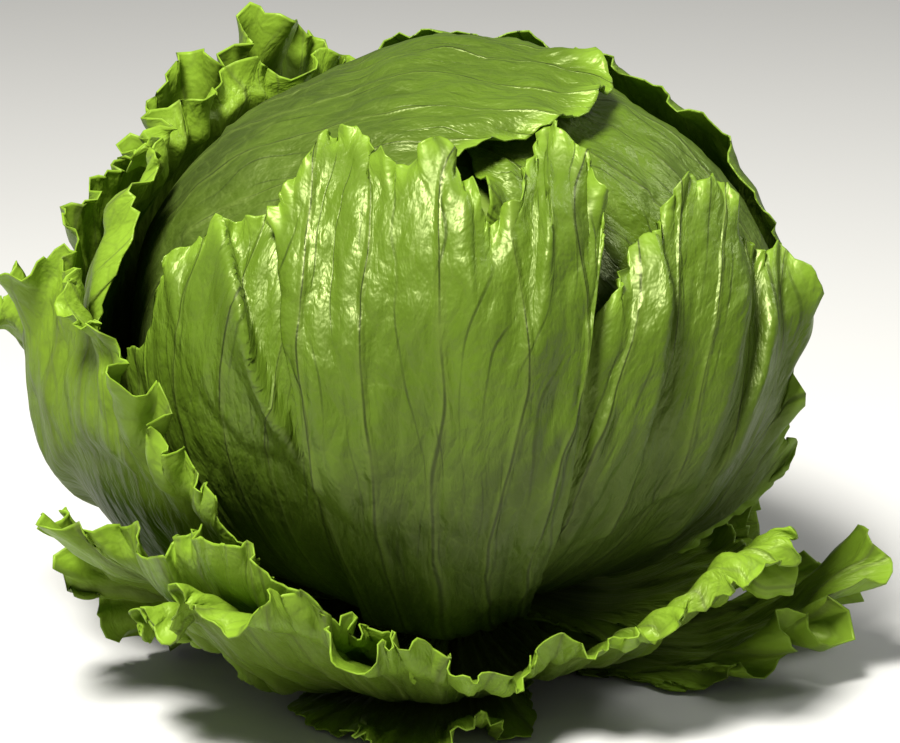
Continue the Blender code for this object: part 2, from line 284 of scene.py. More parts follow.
class LeafFrame:
    """A leaf's own frame on the heart, and its outline laid flat."""

    clasp_reach = 0.050
    stem_gap = 0.0012
    rib_width = 0.008
    rib_end = 0.7
    rib_rise = 0.05
    outline_points = 48
    side_points = 6
    root_step = 6
    lobes = ((0.030, 5.0), (0.022, 9.0))

    def __init__(self, shape: LeafShape, heart: HeartForm) -> None:
        """Sets the leaf's middle on the heart and traces its outline.

        Args:
            shape: The leaf's sizes.
            heart: What it lies on.
        """
        self.shape = shape
        self.heart = heart
        self.middle = shape.length / 2
        turn = math.radians(shape.azimuth)
        out = np.array((math.cos(turn), math.sin(turn), 0.0))
        top = np.array((0.0, 0.0, 1.0))
        rise = self.middle / heart.flat_radius
        self.centre = math.sin(rise) * out - math.cos(rise) * top
        self.up = math.cos(rise) * out + math.sin(rise) * top
        self.side = np.cross(self.up, self.centre)
        self.squeeze = math.sin(rise) / rise
        self.spread = math.radians(shape.spread)
        self.phases = np.random.default_rng(shape.seed).uniform(0, 2 * math.pi, 8)
        self.outline = self._outline()

    def _outline(self) -> Array:
        """Traces the leaf's closed outline, laid flat.

        Returns:
            Points from the root's left corner round by the margin.
        """
        shares = np.linspace(-LIMIT, LIMIT, self.outline_points)
        far, near = self.reach(shares), self.root(shares)
        climb = near[-1] + (far[-1] - near[-1]) * np.linspace(0.1, 0.9, self.side_points)
        side = np.full(self.side_points, LIMIT)
        shares = np.concatenate((shares, side, shares[::-1][::self.root_step], shares[:1], -side))
        distances = np.concatenate((far, climb[::-1], near[::-1][::self.root_step], near[:1], climb))
        angles = shares * self.half_angle(distances) + self.lean(distances)
        return np.stack((distances * np.sin(angles), distances * np.cos(angles)), axis=-1)

    def half_angle(self, distance: Array) -> Array:
        """Half the angle that the blade spans: wider at the stem by a bell curve, and flared at the end."""
        clasp = self.shape.clasp * np.exp(-((distance / self.clasp_reach) ** 2))
        return self.spread * (1 + clasp + self.shape.flare * (distance / self.shape.length) ** 6)

    def lean(self, distance: Array) -> Array:
        """How far the midrib has turned aside: with the square of the share of the length."""
        return math.radians(self.shape.lean) * (distance / self.shape.length) ** 2

    def direction(self, angle: Array, distance: Array) -> Array:
        """Directions from the heart's middle of points of the flat leaf.

        Formula: the flat leaf is laid on the ball from its own middle outwards, so each straight line
        through that middle becomes an arc of a great circle of the same length.

        Args:
            angle: Angles from the midrib.
            distance: Distances from the point under the stem.

        Returns:
            Unit vectors.
        """
        x = distance * np.sin(angle)
        y = distance * np.cos(angle) - self.middle
        far = np.maximum(np.hypot(x, y), 1e-9)
        turn = far / self.heart.flat_radius
        flat = x[..., None] * self.side + y[..., None] * self.up
        return np.cos(turn)[..., None] * self.centre + (np.sin(turn) / far)[..., None] * flat

    def flat(self, directions: Array) -> tuple[Array, Array]:
        """Finds where directions lie on the flat leaf: the reverse of direction.

        Args:
            directions: Unit vectors from the heart's middle.

        Returns:
            Places across the leaf and along it from the stem.
        """
        across = directions @ self.side
        along = directions @ self.up
        turn = np.arccos(np.clip(directions @ self.centre, -1, 1))
        scale = self.heart.flat_radius * turn / np.maximum(np.hypot(across, along), 1e-9)
        return across * scale, along * scale + self.middle

    def reach(self, share: Array) -> Array:
        """How far the leaf reaches at a share of its width.

        Formula: the length times a power of a cosine, times one plus two sine lobes less a bell-shaped notch.

        Args:
            share: Places across the leaf from -1 to 1.

        Returns:
            Distances from the point under the stem.
        """
        lobes = sum(size * np.sin(pace * share + turn) for (size, pace), turn in zip(self.lobes, self.phases))
        at, depth, width = self.shape.notch
        dip = depth * np.exp(-(((share - at) / width) ** 2))
        return self.shape.length * np.cos(share * math.pi / 2) ** self.shape.fullness * (1 + lobes - dip)

    def root(self, share: Array) -> Array:
        """The distance at which the blade starts.

        Formula: a circle just outside the stem, seen on the flat leaf.

        Args:
            share: Places across the leaf from -1 to 1.

        Returns:
            Distances from the point under the stem.
        """
        angle = share * self.half_angle(np.array(STEM_RADIUS))
        start = (STEM_RADIUS + self.stem_gap) * self.heart.flat_radius / self.heart.below
        return start / np.hypot(np.cos(angle), self.squeeze * np.sin(angle))

    def past(self, x: Array, y: Array) -> Array:
        """How far places are past the leaf's outline.

        Formula: the least distance to the outline's straight pieces, negative inside.

        Args:
            x: Places across the flat leaf.
            y: Places along it.

        Returns:
            The distances.
        """
        first = self.outline
        step = np.roll(first, -1, axis=0) - first
        length = np.maximum((step**2).sum(axis=1), 1e-12)
        dx = x[..., None] - first[:, 0]
        dy = y[..., None] - first[:, 1]
        along = np.clip((dx * step[:, 0] + dy * step[:, 1]) / length, 0, 1)
        gap = np.hypot(dx - along * step[:, 0], dy - along * step[:, 1]).min(axis=-1)
        distance = np.hypot(x, y)
        share = (np.arctan2(x, y) - self.lean(distance)) / self.half_angle(distance)
        held = np.clip(share, -LIMIT, LIMIT)
        inside = (np.abs(share) < LIMIT) & (distance > self.root(held)) & (distance < self.reach(held))
        return np.where(inside, -gap, gap)

    def rib(self, x: Array, y: Array) -> Array:
        """The midrib's thickness.

        Formula: a bell curve across, which fades towards the tip and beside the stem.

        Args:
            x: Places across the flat leaf.
            y: Places along it.

        Returns:
            What the midrib adds to the blade.
        """
        distance = np.hypot(x, y)
        off = x - distance * np.sin(self.lean(distance))
        fade = np.clip(1 - y / (self.rib_end * self.shape.length), 0, 1)
        fade = fade * (0.4 + 0.6 * smoothstep(y / self.rib_rise))
        return self.shape.rib * np.exp(-((off / self.rib_width) ** 2)) * fade * (y > 0)

    def stand_off(self, x: Array, y: Array) -> Array:
        """How far the blade means to stand off the heart.

        Formula: a smooth rise with the share of the leaf's length.

        Args:
            x: Places across the flat leaf.
            y: Places along it.

        Returns:
            Heights in metres.
        """
        shape = self.shape
        share = np.hypot(x, y) / shape.length
        return shape.stand * smoothstep((share - shape.stand_from) / (shape.stand_to - shape.stand_from))


@dataclass
class Layers:
    """What the stack of leaves says at some directions, with one entry for each leaf. Metres."""

    heights: list[Array] = field(default_factory=list)
    lifts: list[Array] = field(default_factory=list)
    covers: list[Array] = field(default_factory=list)
    ribs: list[Array] = field(default_factory=list)
    floors: list[Array] = field(default_factory=list)
    gaps: list[Array] = field(default_factory=list)


class LeafStack:
    """All leaves from the inmost out, and the height of each above the heart."""

    clearance = 0.0004
    curl_room = 0.0019
    pitch_low = 0.0015
    pitch_high = 0.0029
    pitch_reach = 0.065
    floor_pitch = 0.0013
    floor_gap = 0.0003
    close_reach = 0.045
    close_least = 0.2
    cover_margin = 0.012
    cover_fall = 0.028
    wide_fall = 0.050
    least_gap = 0.0001
    least_cover = 0.001
    most_room = 1.0
    most_bare = 0.05

    def __init__(self, heart: HeartForm, shapes: tuple[LeafShape, ...]) -> None:
        """Makes every leaf's frame.

        Args:
            heart: What the leaves lie on.
            shapes: The leaves from the inmost out.
        """
        self.heart = heart
        self.frames = [LeafFrame(shape, heart) for shape in shapes]

    def number(self, name: str) -> int:
        """The place of a named leaf in the stack."""
        return [one.shape.name for one in self.frames].index(name)

    def layers(self, directions: Array) -> Layers:
        """Works out every leaf's height, cover, midrib and floor.

        Formula: going outwards, each leaf adds its pitch and midrib times how much it covers the place. What
        the leaves stand off is summed as fourth powers, so the largest leads. Under the head the same sum
        runs inwards from the floor.

        Args:
            directions: Unit vectors from the heart's middle.

        Returns:
            The layers.
        """
        polar = np.arccos(np.clip(-directions[..., 2], -1, 1)) * self.heart.flat_radius
        close = np.clip(polar / self.close_reach, self.close_least, 1)
        pitch = self.pitch_low + (self.pitch_high - self.pitch_low) * smoothstep(polar / self.pitch_reach)
        below = self.clearance + self.heart.swelling(directions)
        stand = np.zeros(below.shape)
        found = Layers()
        for leaf in self.frames:
            x, y = leaf.flat(directions)
            gap = leaf.past(x, y)
            past = gap - self.cover_margin * close
            cover = 1 - smoothstep(past / (self.cover_fall * close))
            rib = leaf.rib(x, y)
            stand = stand + (leaf.stand_off(x, y) * (1 - smoothstep(past / self.wide_fall))) ** 4
            found.heights.append(below + stand**0.25)
            found.lifts.append(stand**0.25)
            found.covers.append(cover)
            found.ribs.append(rib)
            found.gaps.append(gap)
            below = below + cover * (pitch + rib)
        under = np.full(below.shape, BLADE + self.floor_gap)
        for cover, rib in zip(reversed(found.covers), reversed(found.ribs)):
            found.floors.insert(0, under + rib)
            under = under + cover * (self.floor_pitch + rib)
        return found

    def room(self, number: int, found: Layers) -> Array:
        """The room that a leaf has for curling outwards.

        Formula: the least gap to a leaf outside it, over the square of that leaf's cover.

        Args:
            number: The place of the leaf in the stack.
            found: The layers at some directions.

        Returns:
            The room in metres.
        """
        room = np.full(found.heights[number].shape, self.most_room)
        for outer in range(number + 1, len(self.frames)):
            gap = found.heights[outer] - found.heights[number] - BLADE - found.ribs[number] - self.curl_room
            cover = np.maximum(found.covers[outer], self.least_cover)
            room = np.minimum(room, np.maximum(gap, self.least_gap) / cover**2)
        return room

    def bare(self, number: int, found: Layers) -> Array:
        """How far places are past the outline of every leaf outside this one.

        Args:
            number: The place of the leaf in the stack.
            found: The layers at some directions.

        Returns:
            The least of the distances.
        """
        bare = np.full(found.heights[number].shape, self.most_bare)
        for outer in range(number + 1, len(self.frames)):
            bare = np.minimum(bare, found.gaps[outer])
        return bare


@dataclass
class Place:
    """Where the grid points of a sheet lie on the flat leaf. Metres and radians."""

    across: Array
    along: Array
    share: Array
    distance: Array
    angle: Array
    to_edge: Array
    to_side: Array


@dataclass
class Sheet:
    """A leaf's inner face on a grid, its thickness, its map and what its finish reads."""

    points: Array
    thickness: Array
    chart: Array
    fields: dict[str, Array]


class LeafSheet:
    """Works out one leaf's sheet, row by row from the stem and column by column across."""

    coarse_rows = 30
    coarse_columns = 36
    crowding = 1.25
    floor_soft = 0.0020
    vein_spacing = 0.0100
    side_vein_spacing = 0.0043
    vein_width = 0.0007
    vein_relief = 0.0005
    side_crowding = 1.35
    crest_round = 0.45
    waves = ((1.0, 1.0, 1.0), (0.41, 0.55, 0.50), (0.19, 0.34, 0.30))
    side_start = 0.15
    side_rise = 0.3
    margin_reach = 0.030
    chart_width = 0.1
    sink = 0.00025
    sink_share = 0.2
    room_share = 0.7
    most_free = 0.02
    bare_from = 0.001
    bare_reach = 0.007
    slack_reach = 0.004
    thin_reach = 0.006
    plain_side = 0.012

    def __init__(self, stack: LeafStack, number: int) -> None:
        """Takes one leaf from the stack.

        Args:
            stack: All leaves.
            number: The place of this leaf among them.
        """
        self.stack = stack
        self.number = number
        self.leaf = stack.frames[number]
        self.shape = self.leaf.shape
        self.noise = Noise(self.shape.seed)

    def place(self, rows: int, columns: int, jagged: bool) -> Place:
        """Lays a grid on the flat leaf, its rows crowded towards the margin.

        Formula: a row's share of the way is one minus a power of what is left of it, and a column's share
        of the width is one minus a power of what is left to the side.

        Args:
            rows: The number of rows.
            columns: The number of columns.
            jagged: Whether the margin has its small jags.

        Returns:
            The places of the grid points.
        """
        across = np.linspace(-1, 1, columns)[None, :]
        along = 1 - (1 - np.linspace(0, 1, rows)[:, None]) ** self.crowding
        across, along = np.broadcast_arrays(across, along)
        share = np.sign(across) * (1 - (1 - np.abs(across)) ** self.side_crowding) * LIMIT
        phases = self.leaf.phases
        jags = 0.006 * np.sin(across * 31 + phases[2]) + 0.005 * np.sin(across * 47 + phases[3])
        edge = self.leaf.reach(share) * (1 + jagged * jags * smoothstep((along - 0.8) / 0.2))
        root = self.leaf.root(share)
        distance = root + (edge - root) * along
        half = self.leaf.half_angle(distance)
        turn = np.minimum(distance / self.stack.heart.flat_radius, 3.0)
        width = half * self.stack.heart.flat_radius * np.maximum(np.sin(turn / 2) * 2, 0.05)
        return Place(
            across,
            along,
            share,
            distance,
            share * half + self.leaf.lean(distance),
            edge - distance,
            (LIMIT - np.abs(share)) * width,
        )

    def curl(self, place: Place) -> tuple[Array, Array]:
        """The rolled and waving margin, as shifts back along the leaf and out from the heart.

        Formula: the last stretch of the leaf follows an arc whose bend varies slowly across, and on it rides
        a wave made of two sines that grows towards the margin.

        Args:
            place: The places on the flat leaf.

        Returns:
            How far points move back along the leaf, mostly negative, and how far they move out.
        """
        shape, phases, across = self.shape, self.leaf.phases, place.across
        wave = np.sin(math.pi * shape.waves * across + phases[4] + 0.9 * np.sin(3 * across + phases[5]))
        wave = wave + 0.35 * np.sin(math.pi * shape.waves * 2.1 * across + phases[6])
        rise = shape.ruffle * smoothstep(1 - place.to_edge / shape.ruffle_reach) * (0.75 + 0.6 * wave)
        bend = math.radians(shape.roll) / shape.roll_width * (0.8 + 0.2 * np.sin(4 * across + phases[7]))
        bend = np.maximum(bend, 1e-3)
        turned = np.clip(shape.roll_width - place.to_edge, 0, shape.roll_width)
        back = np.sin(bend * turned) / bend - turned - rise * np.sin(bend * turned)
        out = (1 - np.cos(bend * turned)) / bend + rise * np.cos(bend * turned)
        return back, np.maximum(out, 0)

    def fields(self) -> dict[str, Array]:
        """Asks the stack about this leaf on a coarse grid and carries the answers to the fine one.

        Returns:
            Height, lift, floor, midrib, room and bareness, each on the fine grid.
        """
        place = self.place(self.coarse_rows, self.coarse_columns, False)
        back, out = self.curl(place)
        first = self.stack.layers(self.leaf.direction(place.angle, place.distance))
        room = self.stack.room(self.number, first)
        kept = bounded(out, room) / np.maximum(out, 1e-9)
        found = self.stack.layers(self.leaf.direction(place.angle, place.distance + back * kept))
        room = np.minimum(room, self.stack.room(self.number, found))
        down = spline_weights(self.coarse_rows, self.shape.rows)
        over = spline_weights(self.coarse_columns, self.shape.columns)

        def fine(values: Array) -> Array:
            """Carries one coarse grid to the fine one."""
            return down @ values @ over.T

        number = self.number
        return {
            "height": fine(found.heights[number]),
            "lift": np.maximum(fine(found.lifts[number]), 0),
            "floor": fine(found.floors[number]),
            "rib": np.maximum(fine(found.ribs[number]), 0),
            "room": np.exp(fine(np.log(room))),
            "bare": fine(self.stack.bare(number, found)),
        }

    def press(self, points: Array, floor: Array) -> Array:
        """Keeps points above the floor.

        Formula: heights near or under the floor fade towards it by an exponential.

        Args:
            points: The points.
            floor: The least height of each.

        Returns:
            The pressed points.
        """
        above = (points[..., 2] - floor) / self.floor_soft
        held = floor + self.floor_soft * np.exp(np.minimum(above - 1, 0))
        pressed = points.copy()
        pressed[..., 2] = np.where(above > 1, points[..., 2], held)
        return pressed

    def gathers(self, place: Place) -> tuple[Array, Array]:
        """The folds at the leaf's end, as lifts out of the sheet and shifts across it.

        Formula: a fold's crest is a tent with a rounded top, by the exponential of a softened distance from
        its line, times a smooth rise towards the margin that sinks again close to it.

        Args:
            place: The places on the flat leaf.

        Returns:
            The lifts and the shifts.
        """
        lift = np.zeros(place.share.shape)
        shift = np.zeros(place.share.shape)
        for fold in self.shape.folds:
            down = (self.shape.length - place.distance) / fold.reach
            line = fold.share + fold.lean * down
            off = (place.share - line) * self.leaf.spread * place.distance / fold.width
            off = off * np.where(off * fold.lop > 0, 1 + abs(fold.lop), 1)
            crest = np.exp(self.crest_round - np.sqrt(off**2 * 1.6 + self.crest_round**2))
            crest = crest * smoothstep(1 - down) * (0.25 + 0.75 * smoothstep(down / 0.3))
            lift += fold.height * crest
            shift += fold.height * fold.tip * crest
        return lift, shift

    def frills(self, run: Array, inward: Array, strength: float, offset: float) -> tuple[Array, Array]:
        """The waves of one stretch of margin.

        Formula: three sines along the margin, each shorter, lower and shallower than the one before, whose
        phases and sizes wander, growing with the square of the nearness to the margin; the shift along the
        margin has twice the phase, so large waves double back.

        Args:
            run: Places along the margin, in metres.
            inward: Distances in from the margin.
            strength: The share of the frill's height that this stretch has.
            offset: Keeps the wanderings of different stretches apart.

        Returns:
            Lifts out of the sheet, and shifts along the margin.
        """
        frill = self.shape.frill
        lift = np.zeros(np.broadcast_shapes(run.shape, inward.shape))
        shift = np.zeros(lift.shape)
        for step, (length, depth, size) in enumerate(self.waves):
            near = np.clip(1 - inward / (frill.reach * depth), 0, 1) ** 2
            turn = run / (frill.pitch * length)
            phase = 2 * math.pi * (turn + 0.6 * self.noise(turn * 0.5 + offset, offset + step))
            swing = 0.8 + 0.9 * self.noise(turn * 0.37 + 9.3, offset + 4.7 + step)
            swing = swing * frill.height * strength * size * near
            lift += swing * (np.sin(phase) + frill.bias)
            shift -= frill.sway * swing * np.sin(2 * phase)
        return lift, shift

    def teeth(self, run: Array, inward: Array, strength: float, offset: float) -> Array:
        """The teeth of one stretch of margin, as shifts outwards in the sheet.

        Formula: a saw whose spacing and size wander along the margin, on slower lobes and with a few sharp
        spikes where a third noise is high, all fading inwards within five teeth.

        Args:
            run: Places along the margin, in metres.
            inward: Distances in from the margin.
            strength: The share of the teeth's size that this stretch has.
            offset: Keeps the wanderings of different stretches apart.

        Returns:
            The shifts.
        """
        frill = self.shape.frill
        turn = run / frill.tooth_pitch
        turn = turn + 0.7 * self.noise(turn * 0.4 + offset, offset + 2.2)
        saw = 1 - np.abs(2 * (turn - np.floor(turn)) ** 1.2 - 1)
        size = np.clip(0.50 + 0.9 * self.noise(turn * 0.13 + 3.1, offset + 5.9), 0.05, 1.2)
        lobes = 1.5 * self.noise(run / (3.2 * frill.tooth_pitch), offset + 8.8)
        spikes = 4.0 * np.clip(self.noise(run / (2.1 * frill.tooth_pitch), offset + 12.6) - 0.30, 0, 1) ** 1.2
        size = (saw * size + lobes + spikes) * smoothstep(1 - inward / (5 * frill.tooth))
        return strength * frill.tooth * size

    def veins(self, u: Array, v: Array) -> tuple[Array, Array]:
        """Counts the veins across the flat leaf, so that each lies where its count is a whole number.

        Formula: the place across over the spacing, plus a slow noise and a finer, weaker one.

        Args:
            u: Places across, in metres at a tenth of a metre from the stem.
            v: Distances from the stem.

        Returns:
            The counts of the main veins and of the side veins.
        """
        main = u / self.vein_spacing + 0.42 * self.noise(u / 0.030, v / 0.060 + 5)
        main = main + 0.16 * self.noise(u / 0.008, v / 0.024 + 11)
        fork = u / self.side_vein_spacing + 1.1 * self.noise(u / 0.022, v / 0.040 + 17)
        fork = fork + 0.22 * self.noise(u / 0.006, v / 0.014 + 23)
        return main, fork

    def crinkles(self, u: Array, v: Array) -> tuple[Array, Array]:
        """The fine crinkles and the broad swells of a blade.

        Formula: each is a sum of noises whose cells are longer along the leaf than across; one of the
        crinkle's has its sign dropped, which gives it creases.

        Args:
            u: Places across, in metres at a tenth of a metre from the stem.
            v: Distances from the stem.

        Returns:
            The crinkles and the swells, from about -1 to 1.
        """
        rough = self.noise(u / 0.0042, v / 0.012) + 0.3 * self.noise(u / 0.0021, v / 0.0050 + 31)
        rough = rough + 0.8 * (0.3 - np.abs(self.noise(u / 0.0060, v / 0.020 + 61)))
        broad = self.noise(u / 0.017, v / 0.048 + 41) + 0.4 * self.noise(u / 0.008, v / 0.024 + 47)
        return rough, broad

    def sheet(self) -> Sheet:
        """Works out the leaf's inner face.

        Formula: the flat leaf is laid on the heart at its own height and curled at its margin; then every
        point moves along the sheet's own normal by the folds, frills, crinkles and veins, held to the room
        outside and inside, and along the sheet by its teeth. A place that no leaf covers has room for all.

        Returns:
            The sheet.
        """
        shape, leaf = self.shape, self.leaf
        place = self.place(shape.rows, shape.columns, True)
        found = self.fields()
        back, out = self.curl(place)
        kept = bounded(out, found["room"]) / np.maximum(out, 1e-9)
        directions = leaf.direction(place.angle, place.distance + back * kept)
        points = self.stack.heart.point(directions, found["height"] + out * kept)
        points = self.press(points, found["floor"])

        over = unit(np.gradient(points, axis=1))
        up = np.gradient(points, axis=0)
        normal = unit(np.cross(over, up))
        up = np.cross(normal, over)

        u = place.share * leaf.spread * self.chart_width
        v = place.distance
        margin_run = np.concatenate(([0], np.cumsum(np.linalg.norm(np.diff(points[-1], axis=0), axis=1))))
        margin_run = np.broadcast_to(margin_run[None, :], u.shape)
        side = np.sign(place.share)

        lift, shift = self.gathers(place)
        top_lift, top_shift = self.frills(margin_run, place.to_edge, 1.0, 1.5)
        side_lift, side_shift = self.frills(place.distance, place.to_side, shape.frill.sides, 21.0)
        rising = smoothstep((place.along - self.side_start) / self.side_rise)
        side_lift = side_lift * rising
        side_shift = side_shift * rising
        main, fork = self.veins(u, v)
        ridge = np.abs(main - np.round(main)) * self.vein_spacing * v / self.chart_width
        ridge = np.exp(-((ridge / self.vein_width) ** 2)) * smoothstep(1.15 - place.along)
        edge = np.minimum(place.to_edge, place.to_side)
        near_edge = smoothstep(1 - edge / self.margin_reach)
        rough, broad = self.crinkles(u, v)
        moved = lift + top_lift + side_lift
        moved = moved + shape.crinkle * rough * (1 + 1.2 * near_edge) + self.vein_relief * ridge
        moved = moved + shape.swell * (broad + 0.8) * smoothstep(place.along / 0.3)
        inside = self.sink + self.sink_share * (found["lift"] + out * kept)
        bare = smoothstep((found["bare"] - self.bare_from) / self.bare_reach)
        covered = np.log(np.minimum(self.room_share * found["room"], self.most_free))
        free = np.exp((1 - bare) * covered + bare * math.log(self.most_free))
        moved = bounded(np.maximum(moved, 0), free) - bounded(np.maximum(-moved, 0), inside)
        slack = smoothstep(free / self.slack_reach)

        points = points + normal * moved[..., None]
        points = points + over * ((shift + top_shift) * slack)[..., None]
        points = points + up * (side_shift * slack)[..., None]
        points = points + up * self.teeth(margin_run, place.to_edge, 1.0, 3.3)[..., None]
        side_teeth = side * self.teeth(place.distance, place.to_side, shape.frill.sides, 13.7)
        points = points + over * side_teeth[..., None]
        points = self.press(points, found["floor"])

        plain = self.plain_side * (1 - min(shape.frill.sides * 1.6, 1.0))
        thickness = MARGIN_BLADE + (BLADE - MARGIN_BLADE) * smoothstep(edge / self.thin_reach) + found["rib"]
        fields = {
            "edge": np.minimum(place.to_edge, place.to_side + plain),
            # run is the share of the length times the paling share; where that share is below 1 the darker
            # end is painted shade.
            "run": place.distance / shape.length * shape.pallor_and_painted_shade,
            "rib": found["rib"] / max(shape.rib, 1e-6),
            "main_vein": main,
            "side_vein": fork,
        }
        return Sheet(points, thickness, np.stack((u, v), axis=-1), fields)


class MeshMaker:
    """Puts grids into Blender meshes."""

    least_height = 0.0002

    @staticmethod
    def fill(name: str, points: Array, quads: Array) -> bpy.types.Object:
        """Makes a smooth mesh object of four-sided faces.

        Args:
            name: The object's name.
            points: Points, one row each.
            quads: Indices, four to a row.

        Returns:
            The linked object.
        """
        mesh = bpy.data.meshes.new(name)
        mesh.vertices.add(len(points))
        mesh.vertices.foreach_set("co", np.ascontiguousarray(points, np.float32).ravel())
        mesh.loops.add(quads.size)
        mesh.polygons.add(len(quads))
        mesh.polygons.foreach_set("loop_start", np.arange(0, quads.size, 4, dtype=np.int32))
        mesh.polygons.foreach_set("vertices", np.ascontiguousarray(quads, np.int32).ravel())
        mesh.update(calc_edges=True)
        mesh.shade_smooth()
        piece = bpy.data.objects.new(name, mesh)
        bpy.context.scene.collection.objects.link(piece)
        return piece

    @staticmethod
    def grid(rows: int, columns: int) -> Array:
        """The quads of a grid of points, turned so that across by along faces outwards.

        Args:
            rows: The number of rows.
            columns: The number of columns.

        Returns:
            Indices, four to a row.
        """
        index = np.arange(rows * columns).reshape(rows, columns)
        corners = (index[:-1, :-1], index[:-1, 1:], index[1:, 1:], index[1:, :-1])
        return np.stack(corners, axis=-1).reshape(-1, 4)

    @classmethod
    def closed_leaf(cls, name: str, sheet: Sheet) -> bpy.types.Object:
        """Makes a closed leaf: the sheet, the same sheet moved out by its thickness, and a wall between.

        Args:
            name: The object's name.
            sheet: The leaf's inner face.

        Returns:
            The object, with its map and attributes.
        """
        rows, columns = sheet.thickness.shape
        normal = np.cross(np.gradient(sheet.points, axis=1), np.gradient(sheet.points, axis=0))
        outer = sheet.points + unit(normal) * sheet.thickness[..., None]
        outer[..., 2] = np.maximum(outer[..., 2], cls.least_height)
        points = np.concatenate((sheet.points.reshape(-1, 3), outer.reshape(-1, 3)))
        size = rows * columns
        quads = cls.grid(rows, columns)
        index = np.arange(size).reshape(rows, columns)
        border = np.concatenate((index[0, :-1], index[:-1, -1], index[-1, :0:-1], index[:0:-1, 0]))
        after = np.roll(border, -1)
        wall = np.stack((border, after, after + size, border + size), axis=-1)
        quads = np.concatenate((quads[:, ::-1], quads + size, wall))
        piece = cls.fill(name, points, quads)
        chart = np.concatenate((sheet.chart.reshape(-1, 2),) * 2)
        cls.carry(piece, chart, {key: np.tile(values.ravel(), 2) for key, values in sheet.fields.items()})
        return piece

    @classmethod
    def turned(cls, name: str, points: Array) -> bpy.types.Object:
        """Makes a closed solid from rings of points, with one face over the small ring at each end.

        Args:
            name: The object's name.
            points: Points by ring and by place round it.

        Returns:
            The object.
        """
        rings, segments = points.shape[:2]
        index = np.arange(rings * segments).reshape(rings, segments)
        after = np.roll(index, -1, axis=1)
        quads = np.stack((index[:-1], after[:-1], after[1:], index[1:]), -1).reshape(-1, 4)
        piece = cls.fill(name, points.reshape(-1, 3), quads)
        mesh = bmesh.new()
        mesh.from_mesh(piece.data)
        mesh.verts.ensure_lookup_table()
        mesh.faces.new([mesh.verts[i] for i in index[0][::-1]])
        mesh.faces.new([mesh.verts[i] for i in index[-1]])
        mesh.to_mesh(piece.data)
        mesh.free()
        piece.data.shade_smooth()
        return piece

    @staticmethod
    def carry(piece: bpy.types.Object, chart: Array, fields: dict[str, Array]) -> None:
        """Gives a piece the map and the numbers that a leaf's finish reads.

        Args:
            piece: The piece.
            chart: Places on the map, one row for each point.
            fields: Numbers by name, one for each point.
        """
        corners = np.empty(len(piece.data.loops), np.int32)
        piece.data.loops.foreach_get("vertex_index", corners)
        layer = piece.data.uv_layers.new(name="leaf")
        layer.uv.foreach_set("vector", chart[corners].astype(np.float32).ravel())
        for key, values in fields.items():
            made = piece.data.attributes.new(key, "FLOAT", "POINT")
            made.data.foreach_set("value", values.ravel().astype(np.float32))


class Value:
    """A number socket of a material, on which Python's operators add Math nodes."""

    def __init__(self, shader: Shader, socket: bpy.types.NodeSocket) -> None:
        """Wraps a socket."""
        self.shader = shader
        self.socket = socket

    def __add__(self, other: Value | float) -> Value:
        """Adds."""
        return self.shader.math("ADD", self, other)

    def __sub__(self, other: Value | float) -> Value:
        """Subtracts."""
        return self.shader.math("SUBTRACT", self, other)

    def __rsub__(self, other: float) -> Value:
        """Subtracts this from a number."""
        return self.shader.math("SUBTRACT", other, self)

    def __mul__(self, other: Value | float) -> Value:
        """Multiplies."""
        return self.shader.math("MULTIPLY", self, other)

    def __truediv__(self, other: Value | float) -> Value:
        """Divides."""
        return self.shader.math("DIVIDE", self, other)

    __radd__ = __add__
    __rmul__ = __mul__


